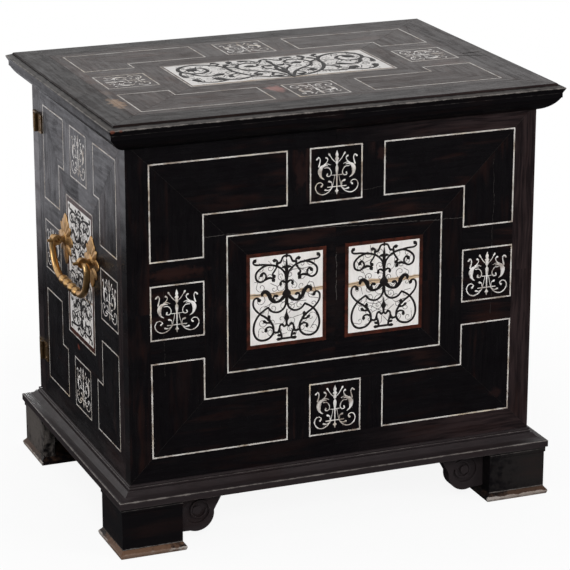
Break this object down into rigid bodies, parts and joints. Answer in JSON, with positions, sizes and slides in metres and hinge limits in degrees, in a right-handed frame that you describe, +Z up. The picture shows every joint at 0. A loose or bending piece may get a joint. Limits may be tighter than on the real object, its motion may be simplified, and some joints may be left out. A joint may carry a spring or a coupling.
{
  "type": "table cabinet",
  "caption": "Ebonised table cabinet with flush bone inlay, two hinged doors over two banks of drawers, bail carrying handles and bracket feet.",
  "frame": {"origin": "middle of the footprint, on the surface that the four foot pads stand on", "axes": "+Z up; the doors face -Y and the plain back faces +Y; +X is to the right of a person who faces the doors"},
  "size_m": [0.44, 0.322, 0.4044],
  "materials": {
    "ebonised_veneer": "black-stained veneer, worn polish",
    "black_moulding": "black polished solid wood",
    "dark_carcass": "dark stained inside faces",
    "drawer_wood": "plain oiled wood",
    "bone": "polished bone",
    "red_border": "polished red-brown inlay",
    "gilt_brass": "worn gilding",
    "iron": "dull iron"
  },
  "bodies": {
    "case": {"side_left": "ebonised_veneer", "side_right": "ebonised_veneer", "back_panel": "ebonised_veneer", "top_board": "dark_carcass", "bottom_board": "dark_carcass", "partition": "drawer_wood", "dust_boards_left": "drawer_wood", "dust_boards_right": "drawer_wood", "base_frame": "black_moulding", "cornice_frame": "black_moulding", "top_panel": "ebonised_veneer", "foot_front_left": "black_moulding", "foot_front_right": "black_moulding", "foot_back_left": "black_moulding", "foot_back_right": "black_moulding", "foot_pads": "black_moulding", "volute_brackets": "black_moulding", "hinge_case_leaves": "gilt_brass", "hinge_pins": "iron", "handle_plates_left": "gilt_brass", "handle_posts_left": "gilt_brass", "handle_plates_right": "gilt_brass", "handle_posts_right": "gilt_brass", "stringing_back": "bone", "stringing_side_left": "bone", "stringing_side_right": "bone", "stringing_top": "bone", "plaques_case": "bone", "borders_case": "red_border"},
    "door_left_swing": {"door_left": "ebonised_veneer", "hinge_door_leaves_left": "gilt_brass", "stringing_door_left": "bone", "plaque_door_left": "bone", "border_door_left": "red_border"},
    "bail_left_drop": {"bail_left": "gilt_brass"},
    "drawer_left_1_box": {"drawer_left_1": "drawer_wood", "pull_left_1": "bone"},
    "drawer_left_2_box": {"drawer_left_2": "drawer_wood", "pull_left_2": "bone"},
    "drawer_left_3_box": {"drawer_left_3": "drawer_wood", "pull_left_3": "bone"},
    "drawer_left_4_box": {"drawer_left_4": "drawer_wood", "pull_left_4": "bone"},
    "door_right_swing": {"door_right": "ebonised_veneer", "hinge_door_leaves_right": "gilt_brass", "stringing_door_right": "bone", "plaque_door_right": "bone", "border_door_right": "red_border", "lock": "iron", "keyhole_escutcheon": "bone"},
    "bail_right_drop": {"bail_right": "gilt_brass"},
    "drawer_right_1_box": {"drawer_right_1": "drawer_wood", "pull_right_1": "bone"},
    "drawer_right_2_box": {"drawer_right_2": "drawer_wood", "pull_right_2": "bone"},
    "drawer_right_3_box": {"drawer_right_3": "drawer_wood", "pull_right_3": "bone"},
    "drawer_right_4_box": {"drawer_right_4": "drawer_wood", "pull_right_4": "bone"}
  },
  "joints": [
    {"name": "door_left_hinge", "type": "hinge", "parent": "case", "child": "door_left_swing", "pos_m": [-0.2025, -0.12275, 0.2215], "axis": [0, 0, -1], "range_deg": [0, 180]},
    {"name": "door_right_hinge", "type": "hinge", "parent": "case", "child": "door_right_swing", "pos_m": [0.2025, -0.12275, 0.2215], "axis": [0, 0, 1], "range_deg": [0, 180]},
    {"name": "drawer_left_1_slide", "type": "slide", "parent": "case", "child": "drawer_left_1_box", "axis": [0, -1, 0], "range_m": [0, 0.132]},
    {"name": "drawer_left_2_slide", "type": "slide", "parent": "case", "child": "drawer_left_2_box", "axis": [0, -1, 0], "range_m": [0, 0.132]},
    {"name": "drawer_left_3_slide", "type": "slide", "parent": "case", "child": "drawer_left_3_box", "axis": [0, -1, 0], "range_m": [0, 0.132]},
    {"name": "drawer_left_4_slide", "type": "slide", "parent": "case", "child": "drawer_left_4_box", "axis": [0, -1, 0], "range_m": [0, 0.132]},
    {"name": "drawer_right_1_slide", "type": "slide", "parent": "case", "child": "drawer_right_1_box", "axis": [0, -1, 0], "range_m": [0, 0.132]},
    {"name": "drawer_right_2_slide", "type": "slide", "parent": "case", "child": "drawer_right_2_box", "axis": [0, -1, 0], "range_m": [0, 0.132]},
    {"name": "drawer_right_3_slide", "type": "slide", "parent": "case", "child": "drawer_right_3_box", "axis": [0, -1, 0], "range_m": [0, 0.132]},
    {"name": "drawer_right_4_slide", "type": "slide", "parent": "case", "child": "drawer_right_4_box", "axis": [0, -1, 0], "range_m": [0, 0.132]},
    {"name": "bail_left_hinge", "type": "hinge", "parent": "case", "child": "bail_left_drop", "pos_m": [-0.2096, 0, 0.2475], "axis": [0, 1, 0], "range_deg": [-8, 165]},
    {"name": "bail_right_hinge", "type": "hinge", "parent": "case", "child": "bail_right_drop", "pos_m": [0.2096, 0, 0.2475], "axis": [0, -1, 0], "range_deg": [-8, 165]}
  ],
  "couplings": [
    {"joint": "drawer_left_1_slide", "follows": "door_left_hinge", "m_per_rad": 0.042},
    {"joint": "drawer_left_2_slide", "follows": "door_left_hinge", "m_per_rad": 0.042},
    {"joint": "drawer_left_3_slide", "follows": "door_left_hinge", "m_per_rad": 0.042},
    {"joint": "drawer_left_4_slide", "follows": "door_left_hinge", "m_per_rad": 0.042},
    {"joint": "drawer_right_1_slide", "follows": "door_right_hinge", "m_per_rad": 0.042},
    {"joint": "drawer_right_2_slide", "follows": "door_right_hinge", "m_per_rad": 0.042},
    {"joint": "drawer_right_3_slide", "follows": "door_right_hinge", "m_per_rad": 0.042},
    {"joint": "drawer_right_4_slide", "follows": "door_right_hinge", "m_per_rad": 0.042}
  ]
}
